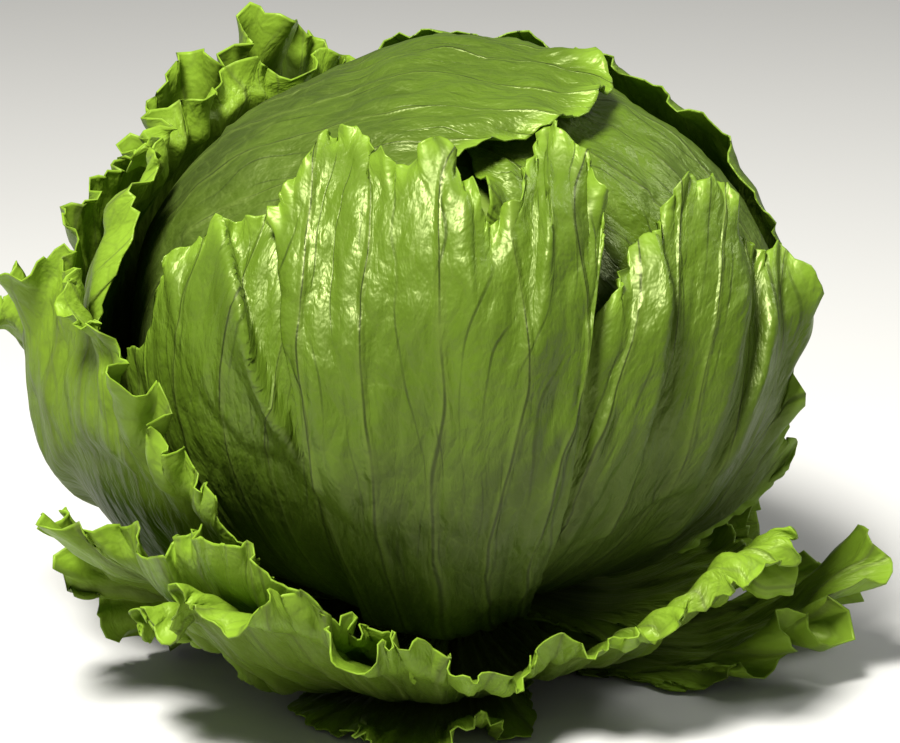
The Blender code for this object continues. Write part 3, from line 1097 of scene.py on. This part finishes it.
class Shader:
    """One material and the nodes that are added to it."""

    bend_scale = 70.0

    def __init__(self, name: str) -> None:
        """Makes an empty node material.

        Args:
            name: The material's name.
        """
        self.material = bpy.data.materials.new(name)
        self.material.use_nodes = True
        self.tree = self.material.node_tree
        self.tree.nodes.clear()

    def node(self, kind: str, settings: dict | None = None, **inputs: object) -> bpy.types.Node:
        """Adds a node.

        Args:
            kind: The node's type, without its leading ShaderNode.
            settings: Properties that are set first.
            **inputs: A value or a link for each socket, by name with _ for a space, or by _ and its number.

        Returns:
            The node.
        """
        made = self.tree.nodes.new("ShaderNode" + kind)
        for key, value in (settings or {}).items():
            setattr(made, key, value)
        for key, value in inputs.items():
            socket = made.inputs[int(key[1:]) if key[0] == "_" else key.replace("_", " ")]
            if isinstance(value, Value):
                value = value.socket
            if isinstance(value, bpy.types.NodeSocket):
                self.tree.links.new(value, socket)
            else:
                socket.default_value = value
        return made

    def math(self, operation: str, first: Value | float, second: Value | float = 0.0) -> Value:
        """Adds a Math node."""
        return Value(self, self.node("Math", {"operation": operation}, _0=first, _1=second).outputs[0])

    def ease(self, value: Value, start: float, end: float, low: float = 0.0, high: float = 1.0) -> Value:
        """Carries a value smoothly from one range to another.

        Args:
            value: What is carried.
            start: Where the change starts.
            end: Where it ends, which may lie below the start.
            low: What the start becomes.
            high: What the end becomes.

        Returns:
            The carried value.
        """
        made = self.node(
            "MapRange", {"interpolation_type": "SMOOTHSTEP"}, _0=value, _1=start, _2=end, _3=low, _4=high
        )
        return Value(self, made.outputs[0])

    def mix(self, share: Value | float, first: object, second: object) -> bpy.types.NodeSocket:
        """Mixes two colours by a share."""
        first, second = self.colour(first), self.colour(second)
        return self.node("Mix", {"data_type": "RGBA"}, _0=share, _6=first, _7=second).outputs[2]

    @staticmethod
    def colour(value: object) -> object:
        """Gives a bare colour its fourth number."""
        return (*value, 1.0) if isinstance(value, tuple) and len(value) == 3 else value

    def attribute(self, name: str) -> Value:
        """A number that the mesh carries."""
        return Value(self, self.node("Attribute", {"attribute_name": name}).outputs["Fac"])

    def scaled(self, place: bpy.types.NodeSocket, scale: Scale) -> bpy.types.NodeSocket:
        """Places times a scale."""
        return self.node("VectorMath", {"operation": "MULTIPLY"}, _0=place, _1=scale).outputs[0]

    def chart(self, scale: Scale, bend: float = 0.0) -> bpy.types.NodeSocket:
        """The leaf's own map, scaled, and bent by a slow noise.

        Args:
            scale: Cells in a metre across, along and out.
            bend: How far the noise bends it, in metres.

        Returns:
            The vector socket.
        """
        place = self.node("UVMap", {"uv_map": "leaf"}).outputs[0]
        if bend:
            noise = self.node("TexNoise", None, Vector=place, Scale=self.bend_scale, Detail=0.0)
            noise = noise.outputs["Color"]
            middle = (0.5, 0.5, 0.5)
            shift = self.node("VectorMath", {"operation": "SUBTRACT"}, _0=noise, _1=middle).outputs[0]
            shift = self.node("VectorMath", {"operation": "SCALE"}, _0=shift, Scale=bend).outputs[0]
            place = self.node("VectorMath", {"operation": "ADD"}, _0=place, _1=shift).outputs[0]
        return self.scaled(place, scale)

    def noise(self, place: bpy.types.NodeSocket, detail: float = 2.0, rough: float = 0.5) -> Value:
        """A noise texture at places that are already scaled."""
        made = self.node("TexNoise", None, Vector=place, Scale=1.0, Detail=detail, Roughness=rough)
        return Value(self, made.outputs["Fac"])

    def cells(self, place: bpy.types.NodeSocket) -> Value:
        """The distance to the nearest edge between random cells of a flat map.

        Args:
            place: Places that are already scaled.

        Returns:
            The distance, in cells.
        """
        settings = {"feature": "DISTANCE_TO_EDGE", "voronoi_dimensions": "2D"}
        made = self.node("TexVoronoi", settings, Vector=place, Scale=1.0)
        return Value(self, made.outputs["Distance"])

    def surface(self, glow: float, glow_colour: object, **inputs: object) -> None:
        """Ends the material in a glossy surface through which some light passes.

        Args:
            glow: The share of the light that passes through.
            glow_colour: Its colour.
            **inputs: The sockets of the glossy surface.
        """
        skin = self.node("BsdfPrincipled", None, **inputs)
        through = self.node("BsdfTranslucent", None, Color=glow_colour, Normal=inputs["Normal"])
        both = self.node("MixShader", None, _0=glow, _1=skin.outputs[0], _2=through.outputs[0])
        self.node("OutputMaterial", None, Surface=both.outputs[0])


@dataclass(frozen=True)
class LeafFinish:
    """The skin of a leaf: its colours from stem to margin, its veins, and its gloss."""

    name: str
    blade: Colour = (0.040, 0.070, 0.004)
    shade: Colour = (0.023, 0.041, 0.003)
    tip: Colour = (0.078, 0.136, 0.009)
    margin: Colour = (0.144, 0.246, 0.017)
    base: Colour = (0.074, 0.112, 0.014)
    vein: Colour = (0.009, 0.016, 0.002)
    halo: Colour = (0.084, 0.127, 0.017)
    through: Colour = (0.17, 0.32, 0.008)
    vein_strength: float = 0.88
    halo_strength: float = 0.50
    tip_from: float = 0.55
    margin_width: float = 0.007
    roughness: float = 0.38
    glow: float = 0.20
    relief: float = 0.0011
    gleam: float = 1.54
    sheen: Colour = (0.88, 1.0, 0.45)
    patch_cells: Scale = (55.0, 22.0, 1.0)
    break_cells: Scale = (150.0, 40.0, 1.0)
    net_cells: Scale = (430.0, 170.0, 1.0)
    streak_cells: Scale = (620.0, 110.0, 1.0)
    grain_cells: Scale = (2200.0, 900.0, 1.0)
    pucker_cells: Scale = (340.0, 130.0, 1.0)
    bend: float = 0.004

    def make(self) -> bpy.types.Material:
        """Builds the material.

        Returns:
            The material.
        """
        shader = Shader(self.name)
        edge = shader.attribute("edge")
        run = shader.attribute("run")
        rib = shader.attribute("rib")
        place = shader.node("UVMap", {"uv_map": "leaf"}).outputs[0]
        along = Value(shader, shader.node("SeparateXYZ", None, Vector=place).outputs[1])

        main_gap = self.vein_gap(shader, "main_vein", along, LeafSheet.vein_spacing)
        side_gap = self.vein_gap(shader, "side_vein", along, LeafSheet.side_vein_spacing)
        patches = shader.noise(shader.chart(self.patch_cells), 3.0, 0.6)
        breaks = shader.noise(shader.chart(self.break_cells), 2.0)
        taper = shader.ease(run, 0.2, 1.05, 1.0, 0.45)
        main_line = shader.ease(main_gap / taper, 0.00006, 0.00044, 1.0, 0.0)
        main_line = main_line * shader.ease(breaks, 0.30, 0.48)
        main_halo = shader.ease(main_gap / taper, 0.0, 0.0022, 1.0, 0.0)
        side_line = shader.ease(side_gap, 0.00005, 0.00036, 1.0, 0.0)
        side_line = side_line * shader.ease(breaks, 0.40, 0.62) * shader.ease(run, 0.15, 0.45)
        net = shader.cells(shader.chart(self.net_cells, self.bend))
        net_line = shader.ease(net, 0.0, 0.11, 1.0, 0.0)
        streaks = shader.noise(shader.chart(self.streak_cells, self.bend), 3.0, 0.55)
        grain = shader.noise(shader.chart(self.grain_cells), 1.0, 0.6)

        colour = shader.mix(shader.ease(patches, 0.40, 0.62), self.shade, self.blade)
        colour = shader.mix(shader.ease(streaks, 0.45, 0.80) * 0.22, colour, self.halo)
        # Paler towards the end by run; leaves whose paling share is below 1 stay darker there, which is
        # painted shade.
        colour = shader.mix(shader.ease(run + patches * 0.25, self.tip_from, 1.05), colour, self.tip)
        colour = shader.mix(shader.ease(run, 0.34, 0.10) * 0.55, colour, self.base)
        colour = shader.mix(shader.ease(edge, self.margin_width, 0.0), colour, self.margin)
        colour = shader.mix(net_line * 0.22, colour, self.halo)
        colour = shader.mix(main_halo * self.halo_strength, colour, self.halo)
        colour = shader.mix(side_line * (self.vein_strength * 0.75), colour, self.vein)
        colour = shader.mix(main_line * self.vein_strength, colour, self.vein)
        colour = shader.mix(shader.ease(rib, 0.25, 0.9) * 0.6, colour, self.base)

        pucker = shader.noise(shader.chart(self.pucker_cells, self.bend), 3.0, 0.58)
        height = patches * 0.6 + pucker * 0.9 + streaks * 0.26 + grain * 0.10 + net * 0.30
        height = height + main_halo * 0.25 - side_line * 0.06
        bump = shader.node("Bump", None, Strength=1.0, Distance=self.relief, Height=height)
        gloss = shader.ease(streaks, 0.25, 0.8, self.roughness - 0.07, self.roughness + 0.10)
        shader.surface(
            self.glow,
            (*self.through, 1.0),
            Base_Color=colour,
            Roughness=gloss + grain * 0.06 + shader.ease(run, 0.74, 0.34) * 0.34,
            Normal=bump.outputs[0],
            IOR=self.gleam,
            Specular_Tint=(*self.sheen, 1.0),
        )
        return shader.material

    @staticmethod
    def vein_gap(shader: Shader, name: str, along: Value, spacing: float) -> Value:
        """The distance to the nearest vein.

        Formula: how far the vein count is from a whole number, times the spacing, which grows with the
        distance from the stem.

        Args:
            shader: The material.
            name: The attribute that counts the veins.
            along: The distance from the stem.
            spacing: The spacing at a tenth of a metre.

        Returns:
            The distance in metres.
        """
        count = shader.attribute(name)
        off = shader.math("ABSOLUTE", shader.math("FRACT", count + 0.5) - 0.5)
        return off * along * (spacing / LeafSheet.chart_width)


@dataclass(frozen=True)
class StemFinish:
    """The cut stem: pale green sides and a moist, browned cut face."""

    name: str = "cut_stem"
    side: Colour = (0.55, 0.60, 0.30)
    cut: Colour = (0.52, 0.40, 0.20)
    stain: Colour = (0.30, 0.15, 0.06)
    pith: Colour = (0.72, 0.68, 0.44)
    fibre_cells: Scale = (420.0, 420.0, 90.0)
    grain_cells: Scale = (1900.0, 1900.0, 500.0)
    ring: float = 0.0092

    def make(self) -> bpy.types.Material:
        """Builds the material from object coordinates.

        Returns:
            The material.
        """
        shader = Shader(self.name)
        place = shader.node("TexCoord").outputs["Object"]
        apart = shader.node("SeparateXYZ", None, Vector=place)
        height = Value(shader, apart.outputs[2])
        x = Value(shader, apart.outputs[0])
        y = Value(shader, apart.outputs[1])
        radius = shader.math("SQRT", x * x + y * y)
        fibres = shader.noise(shader.scaled(place, self.fibre_cells), 3.0, 0.6)
        grain = shader.noise(shader.scaled(place, self.grain_cells), 3.0, 0.6)
        ring = shader.ease(shader.math("ABSOLUTE", radius - self.ring), 0.0012, 0.0, 0.0, 1.0)
        face = shader.mix(shader.ease(radius + fibres * 0.004, 0.004, 0.013), self.pith, self.cut)
        face = shader.mix(ring * 0.6 + shader.ease(fibres, 0.55, 0.75) * 0.3, face, self.stain)
        side = shader.mix(shader.ease(fibres, 0.4, 0.7) * 0.5, self.side, self.pith)
        colour = shader.mix(shader.ease(height, 0.0004, 0.0016), face, side)
        bump = shader.node("Bump", None, Strength=1.0, Distance=0.0005, Height=fibres * 0.7 + grain * 0.3)
        shader.surface(
            0.06,
            (*self.pith, 1.0),
            Base_Color=colour,
            Roughness=shader.ease(grain, 0.3, 0.7, 0.38, 0.62),
            Normal=bump.outputs[0],
            IOR=1.4,
        )
        return shader.material


HEAD_LEAVES = (
    LeafShape(
        "head_leaf_1", 350, 0.226, 56, 0.40, 0.3, ruffle=0.001, waves=4, seed=11,
        rows=70, columns=150, crinkle=0.0008, swell=0.0022,
    ),
    LeafShape(
        # head_leaf_2 lies over the top; its paling share of 0.8 darkens it as painted shade.
        "head_leaf_2", 165, 0.268, 46, 0.38, 0.4, ruffle=0.001, waves=4, seed=12,
        rows=100, columns=190, crinkle=0.0008, swell=0.0022, pallor_and_painted_shade=0.8,
    ),
    LeafShape(
        "head_leaf_3", 66, 0.200, 54, 0.42, 0.3, ruffle=0.001, waves=4, seed=13,
        rows=90, columns=180, frill=Frill(0.0014, 0.024, 0.014, 0.3, 0.2, 0.9, 0.0024, 0.0052),
    ),
    LeafShape(
        "head_leaf_4", 214, 0.129, 22, 0.20, 0.4, ruffle=0.002, waves=5, seed=14,
        rows=70, columns=120, frill=Frill(0.0014, 0.022, 0.014, 0.2, 0.9, 0.8, 0.0028, 0.0060),
    ),
    # head_leaf_5 lies on the right-hand side; its paling share of 0.88 darkens it as painted shade.
    LeafShape(
        "head_leaf_5", 305.5, 0.161, 21.5, 0.07, 1.4, 0.003, 0.6, 1.0, ruffle_reach=0.045, waves=1.7,
        notch=(0.80, 0.30, 0.50), seed=15, lean=17, rows=120, columns=170,
        frill=Frill(0.0020, 0.022, 0.016, 0.35, 0.1, 0.6, 0.0020, 0.0048), pallor_and_painted_shade=0.88,
        folds=(
            Fold(-0.70, 0.0060, 0.0080, 0.080, 0.20, 1.6, 0.7),
            Fold(-0.22, 0.0080, 0.0060, 0.120, 0.20, -0.8),
            Fold(0.20, 0.0065, 0.0070, 0.110, -0.25, -1.6, -0.5),
            Fold(0.52, 0.0085, 0.0050, 0.090, -0.35, 1.2, 0.3),
        ),
    ),
    LeafShape(
        "head_leaf_6", 240, 0.156, 17.5, 0.06, 0.6, 0.003, 0.6, 1.0, ruffle_reach=0.040, waves=2.2,
        seed=16, rows=110, columns=120, frill=Frill(0.0016, 0.020, 0.012, 0.2, 0.6, 0.15, 0.0016, 0.0040),
        folds=(
            Fold(-0.52, 0.0040, 0.0095, 0.064, 1.15, 2.4, 0.8),
            Fold(-0.85, 0.0060, 0.0028, 0.050, 0.10),
        ),
    ),
    LeafShape(
        "head_leaf_7", 268, 0.180, 13.5, 0.03, 2.6, 0.003, 0.6, 1.0, ruffle=0.002, ruffle_reach=0.045,
        waves=2.5, notch=(0.25, 0.12, 0.22), seed=17, flare=0.10, rows=140, columns=180,
        frill=Frill(0.0020, 0.019, 0.012, 0.35, 0.4, 0.06, 0.0013, 0.0036),
        folds=(
            Fold(-0.54, 0.0080, 0.0026, 0.055, 0.08),
            Fold(-0.04, 0.0065, 0.0040, 0.066, 0.42, 1.4, 0.4),
            Fold(0.66, 0.0085, 0.0066, 0.072, -0.12, -1.6, -0.5),
        ),
    ),
)

WRAPPER_SKIN: dict[str, object] = {"crinkle": 0.0011, "swell": 0.0036, "frill": WRAPPER_FRILL}


def wrapper_leaf(number: int, *sizes: float, **more: object) -> LeafShape:
    """A wrapper leaf, with the skin that most of them share wherever it names no other."""
    return LeafShape(f"wrapper_leaf_{number}", *sizes, **{**WRAPPER_SKIN, **more})


WRAPPER_LEAVES = (
    wrapper_leaf(
        1, 150, 0.176, 46, 0.28, 0.4, 0.002, 0.3, 0.8, 95, 0.013, 0.004, 0.020, 6, 0.0020,
        seed=21, rows=80, columns=250, frill=Frill(0.0046, 0.025, 0.018, 0.42, 0.15, 0.5, 0.0024, 0.0054),
    ),
    wrapper_leaf(
        2, 90, 0.124, 48, 0.34, 0.3, 0.004, 0.2, 0.8, 80, 0.016, 0.005, 0.022, 6, 0.0020,
        seed=22, rows=66, columns=210,
    ),
    wrapper_leaf(
        3, 0, 0.078, 40, 0.30, 0.3, 0.006, 0.2, 0.8, 60, 0.012, 0.004, 0.018, 5, 0.0020,
        seed=23, rows=36, columns=140,
    ),
    wrapper_leaf(
        4, 132, 0.158, 40, 0.24, 0.3, 0.010, 0.2, 0.8, 30, 0.014, 0.005, 0.022, 4, 0.0020,
        seed=24, rows=80, columns=220,
    ),
    wrapper_leaf(
        5, 198, 0.138, 34, 0.18, 0.4, 0.0, 0.2, 0.8, 105, 0.016, 0.004, 0.024, 5, 0.0020,
        seed=25, rows=90, columns=230, frill=Frill(0.0056, 0.026, 0.026, 0.30, 0.1, 0.9, 0.0026, 0.0056),
    ),
    wrapper_leaf(
        6, 42, 0.088, 42, 0.30, 0.3, 0.008, 0.2, 0.8, 60, 0.014, 0.005, 0.020, 5, 0.0020,
        seed=27, rows=44, columns=150,
    ),
    wrapper_leaf(
        7, 226, 0.108, 34, 0.16, 0.3, 0.005, 0.1, 0.7, 140, 0.028, 0.005, 0.024, 4, 0.0020,
        seed=28, rows=56, columns=200,
    ),
    wrapper_leaf(
        8, 274, 0.115, 46, 0.05, 0.1, 0.010, 0.1, 0.7, 120, 0.014, 0.004, 0.016, 5, 0.0020,
        notch=(0.05, 0.30, 0.55), seed=26, rows=60, columns=300, crinkle=0.0008, swell=0.0020,
        frill=Frill(0.0044, 0.027, 0.022, 0.42, 0.1, 0.5, 0.0030, 0.0058),
    ),
    wrapper_leaf(
        9, 260, 0.070, 34, 0.26, 0.2, 0.010, 0.1, 0.7, 40, 0.012, 0.004, 0.016, 4, 0.0020,
        seed=29, rows=50, columns=120, swell=0.0024,
        frill=Frill(0.0022, 0.022, 0.014, 0.25, 0.15, 0.8, 0.0024, 0.0050),
    ),
    wrapper_leaf(
        10, 350, 0.088, 24, 0.30, 0.2, 0.018, 0.1, 0.9, 20, 0.014, 0.005, 0.018, 4, 0.0020,
        seed=30, rows=60, columns=120, swell=0.0030,
        frill=Frill(0.0038, 0.022, 0.018, 0.30, 0.15, 0.8, 0.0024, 0.0050),
    ),
)


class Slot(Enum):
    """The material slots."""

    STEM = "stem"
    HEART = "heart"
    HEAD_LEAF = "head_leaf"
    WRAPPER_LEAF = "wrapper_leaf"


def fix(piece: bpy.types.Object, node: str, material: bpy.types.Material) -> bpy.types.Object:
    """Dresses a finished piece and puts it in its node's place.

    Args:
        piece: The piece.
        node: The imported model's node that it stands for.
        material: Its finish.

    Returns:
        The piece.
    """
    piece.data.materials.append(material)
    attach(piece, "root")
    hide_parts(node)
    return piece


@dataclass
class Leaves:
    """A whorl of leaves that share one finish."""

    stack: LeafStack
    shapes: tuple[LeafShape, ...]
    finish: LeafFinish
    slot: Slot

    def build(self) -> list[bpy.types.Object]:
        """Builds and dresses the leaves.

        Returns:
            The pieces.
        """
        skin = self.finish.make()
        pieces = []
        for shape in self.shapes:
            sheet = LeafSheet(self.stack, self.stack.number(shape.name)).sheet()
            piece = MeshMaker.closed_leaf(shape.name + "_blade", sheet)
            pieces.append(fix(piece, shape.name, skin))
        return pieces


@dataclass
class Heart:
    """The tight heart under the head leaves."""

    form: HeartForm
    finish: LeafFinish
    rings: int = 60
    segments: int = 96
    inset: float = 0.0016
    crease: float = 0.0009
    stem_gap: float = 0.0004
    chart_width: float = 0.06

    def build(self) -> list[bpy.types.Object]:
        """Builds the heart as a closed ball.

        Formula: a point is the heart's own at its swelling's height, less an inset and soft creases that run
        aslant round it; below, it is cut flat over the stem.

        Returns:
            The piece.
        """
        polar = np.linspace(0.02, math.pi - 0.001, self.rings)[:, None]
        turn = (np.arange(self.segments) * 2 * math.pi / self.segments)[None, :]
        polar, turn = np.broadcast_arrays(polar, turn)
        out = np.sin(polar)
        directions = np.stack((out * np.cos(turn), out * np.sin(turn), -np.cos(polar)), -1)
        crease = np.abs(np.sin(1.5 * turn + 2.2 * polar)) ** 0.5 * np.sin(polar) ** 2
        height = self.form.swelling(directions) - self.inset - self.crease * (1 - crease)
        points = self.form.point(directions, height)
        points[..., 2] = np.maximum(points[..., 2], STEM_HEIGHT + self.stem_gap)
        piece = MeshMaker.turned("heart_ball", points)
        self._carry(piece, polar, turn)
        return [fix(piece, "heart", self.finish.make())]

    def _carry(self, piece: bpy.types.Object, polar: Array, turn: Array) -> None:
        """Gives the heart the map and the numbers that a leaf's finish reads.

        Formula: the veins are counted by the sine of the turn, so they run from pole to pole.

        Args:
            piece: The heart.
            polar: Each point's angle from straight down.
            turn: Each point's angle round the axis.
        """
        chart = np.stack((np.sin(turn) * self.chart_width, polar * self.form.flat_radius), -1).reshape(-1, 2)
        fields = {
            "edge": np.full(polar.shape, 0.05),
            "run": 0.3 + polar * 0.2,
            "rib": np.zeros(polar.shape),
            "main_vein": 6 * np.sin(turn) + 0.4 * np.sin(3 * polar),
            "side_vein": 14 * np.sin(turn) + 0.8 * np.sin(5 * polar),
        }
        MeshMaker.carry(piece, chart, fields)


@dataclass
class Stem:
    """The short stem, cut flat below."""

    finish: StemFinish = StemFinish()
    segments: int = 96
    chamfer: float = 0.0012
    top_radius: float = 0.0115
    scar: float = 0.0003
    tip: float = 0.0006
    dish: float = 0.0003

    def build(self) -> list[bpy.types.Object]:
        """Builds the stem as a profile turned round its axis.

        Formula: radii and heights follow a profile from the middle of the cut face to the middle of the top;
        shallow leaf scars, the product of two sine waves, go round the side.

        Returns:
            The piece.
        """
        radius, height = self._profile()
        turn = (np.arange(self.segments) * 2 * math.pi / self.segments)[None, :]
        radius, height = radius[:, None], height[:, None]
        scars = self.scar * np.sin(3 * turn + 900 * height) * np.sin(height * math.pi / STEM_HEIGHT)
        around = radius + np.minimum(scars, 0)
        points = np.stack(np.broadcast_arrays(around * np.cos(turn), around * np.sin(turn), height), -1)
        piece = MeshMaker.turned("stem_cut", points)
        return [fix(piece, "stem", self.finish.make())]

    def _profile(self) -> tuple[Array, Array]:
        """The stem's profile, from the cut face's middle, out, up the side and in over the top.

        Formula: the cut face is dished by a parabola, and the side narrows by a smooth fall.

        Returns:
            Radii and heights.
        """
        face = np.linspace(self.tip, STEM_RADIUS - self.chamfer, 12)
        side = np.linspace(self.chamfer, STEM_HEIGHT - 0.0008, 22)
        wall = STEM_RADIUS - (STEM_RADIUS - self.top_radius) * smoothstep(side / STEM_HEIGHT)
        top = np.linspace(self.top_radius - 0.0006, self.tip, 8)
        dish = self.dish * (1 - (face / (STEM_RADIUS - self.chamfer)) ** 2)
        flat = np.full(len(top), STEM_HEIGHT)
        return np.concatenate((face, wall, top)), np.concatenate((dish, side, flat))


@dataclass(frozen=True)
class Softbox:
    """A soft square light: where it hangs, its side in metres, its power in watts and its colour."""

    name: str
    place: tuple[float, float, float]
    side: float
    power: float
    colour: Colour = (1.0, 1.0, 1.0)


@dataclass(frozen=True)
class Studio:
    """The pale floor, the soft lights and the camera."""

    aim: tuple[float, float, float] = (-0.0009, 0.0, 0.0685)
    distance: float = 0.9
    elevation: float = 18.0
    lens: float = 150.0
    film: float = 36.0
    ground: Colour = (0.50, 0.50, 0.49)
    ground_reach: float = 4.0
    ground_cells: Scale = (9.0, 9.0, 9.0)
    ground_shade: float = 0.985
    sky: float = 0.20
    lights: tuple[Softbox, ...] = (
        Softbox("key", (-0.24, -0.42, 0.93), 0.26, 30.0, (1.0, 0.98, 0.93)),
        Softbox("rim", (0.65, 0.20, 0.70), 0.30, 3.0, (1.0, 1.0, 0.96)),
    )

    def build(self) -> None:
        """Sets the studio up."""
        self._floor()
        self._camera()
        for light in self.lights:
            self._light(light)
        world = bpy.data.worlds.new("studio")
        world.use_nodes = True
        background = world.node_tree.nodes["Background"]
        background.inputs["Color"].default_value = (1.0, 1.0, 1.0, 1.0)
        background.inputs["Strength"].default_value = self.sky
        bpy.context.scene.world = world
        bpy.context.scene.view_settings.view_transform = "Standard"

    def _floor(self) -> None:
        """Lays the floor as one large square."""
        corners = np.array(((-1, -1, 0), (1, -1, 0), (1, 1, 0), (-1, 1, 0))) * self.ground_reach
        floor = MeshMaker.fill("floor", corners, np.array(((0, 1, 2, 3),)))
        shader = Shader("pale_floor")
        place = shader.node("TexCoord").outputs["Object"]
        clouds = shader.noise(shader.scaled(place, self.ground_cells), 3.0)
        shade = shader.mix(clouds, self.ground, tuple(self.ground_shade * c for c in self.ground))
        skin = shader.node("BsdfPrincipled", None, Base_Color=shade, Roughness=0.7)
        shader.node("OutputMaterial", None, Surface=skin.outputs[0])
        floor.data.materials.append(shader.material)

    def _camera(self) -> None:
        """Puts the camera in front of the head, looking down on it."""
        lens = bpy.data.cameras.new("camera")
        lens.lens = self.lens
        lens.sensor_width = self.film
        camera = bpy.data.objects.new("camera", lens)
        bpy.context.scene.collection.objects.link(camera)
        rise = math.radians(self.elevation)
        camera.location = Vector(self.aim) + self.distance * Vector((0, -math.cos(rise), math.sin(rise)))
        camera.rotation_euler = (math.pi / 2 - rise, 0, 0)
        bpy.context.scene.camera = camera

    def _light(self, light: Softbox) -> None:
        """Hangs one light and turns it to the head.

        Args:
            light: The light.
        """
        lamp = bpy.data.lights.new(light.name, "AREA")
        lamp.shape = "SQUARE"
        lamp.size = light.side
        lamp.energy = light.power
        lamp.color = light.colour
        hung = bpy.data.objects.new(light.name, lamp)
        bpy.context.scene.collection.objects.link(hung)
        hung.location = light.place
        hung.rotation_euler = (Vector(self.aim) - Vector(light.place)).to_track_quat("-Z", "Y").to_euler()


def main() -> None:
    """Builds the studio and the head."""
    logging.basicConfig(level=logging.INFO, format="%(message)s")
    Studio().build()
    form = HeartForm()
    stack = LeafStack(form, HEAD_LEAVES + WRAPPER_LEAVES)
    head = LeafFinish("head_leaf_skin")
    wrapper = LeafFinish(
        "wrapper_leaf_skin",
        blade=(0.042, 0.074, 0.006),
        shade=(0.024, 0.044, 0.003),
        tip=(0.125, 0.205, 0.014),
        margin=(0.180, 0.300, 0.021),
        halo=(0.080, 0.115, 0.016),
        vein=(0.095, 0.140, 0.022),
        through=(0.16, 0.30, 0.008),
        margin_width=0.018,
        roughness=0.42,
        gleam=1.38,
    )
    assemblies = (
        Stem(),
        Heart(form, LeafFinish("heart_skin", blade=(0.24, 0.32, 0.06), shade=(0.18, 0.25, 0.04))),
        Leaves(stack, HEAD_LEAVES, head, Slot.HEAD_LEAF),
        Leaves(stack, WRAPPER_LEAVES, wrapper, Slot.WRAPPER_LEAF),
    )
    total = 0
    for assembly in assemblies:
        for piece in assembly.build():
            count = sum(len(face.vertices) - 2 for face in piece.data.polygons)
            total += count
            log.info("%s: %d triangles", piece.name, count)
    log.info("all pieces: %d triangles", total)
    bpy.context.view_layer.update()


if __name__ == "__main__":
    main()
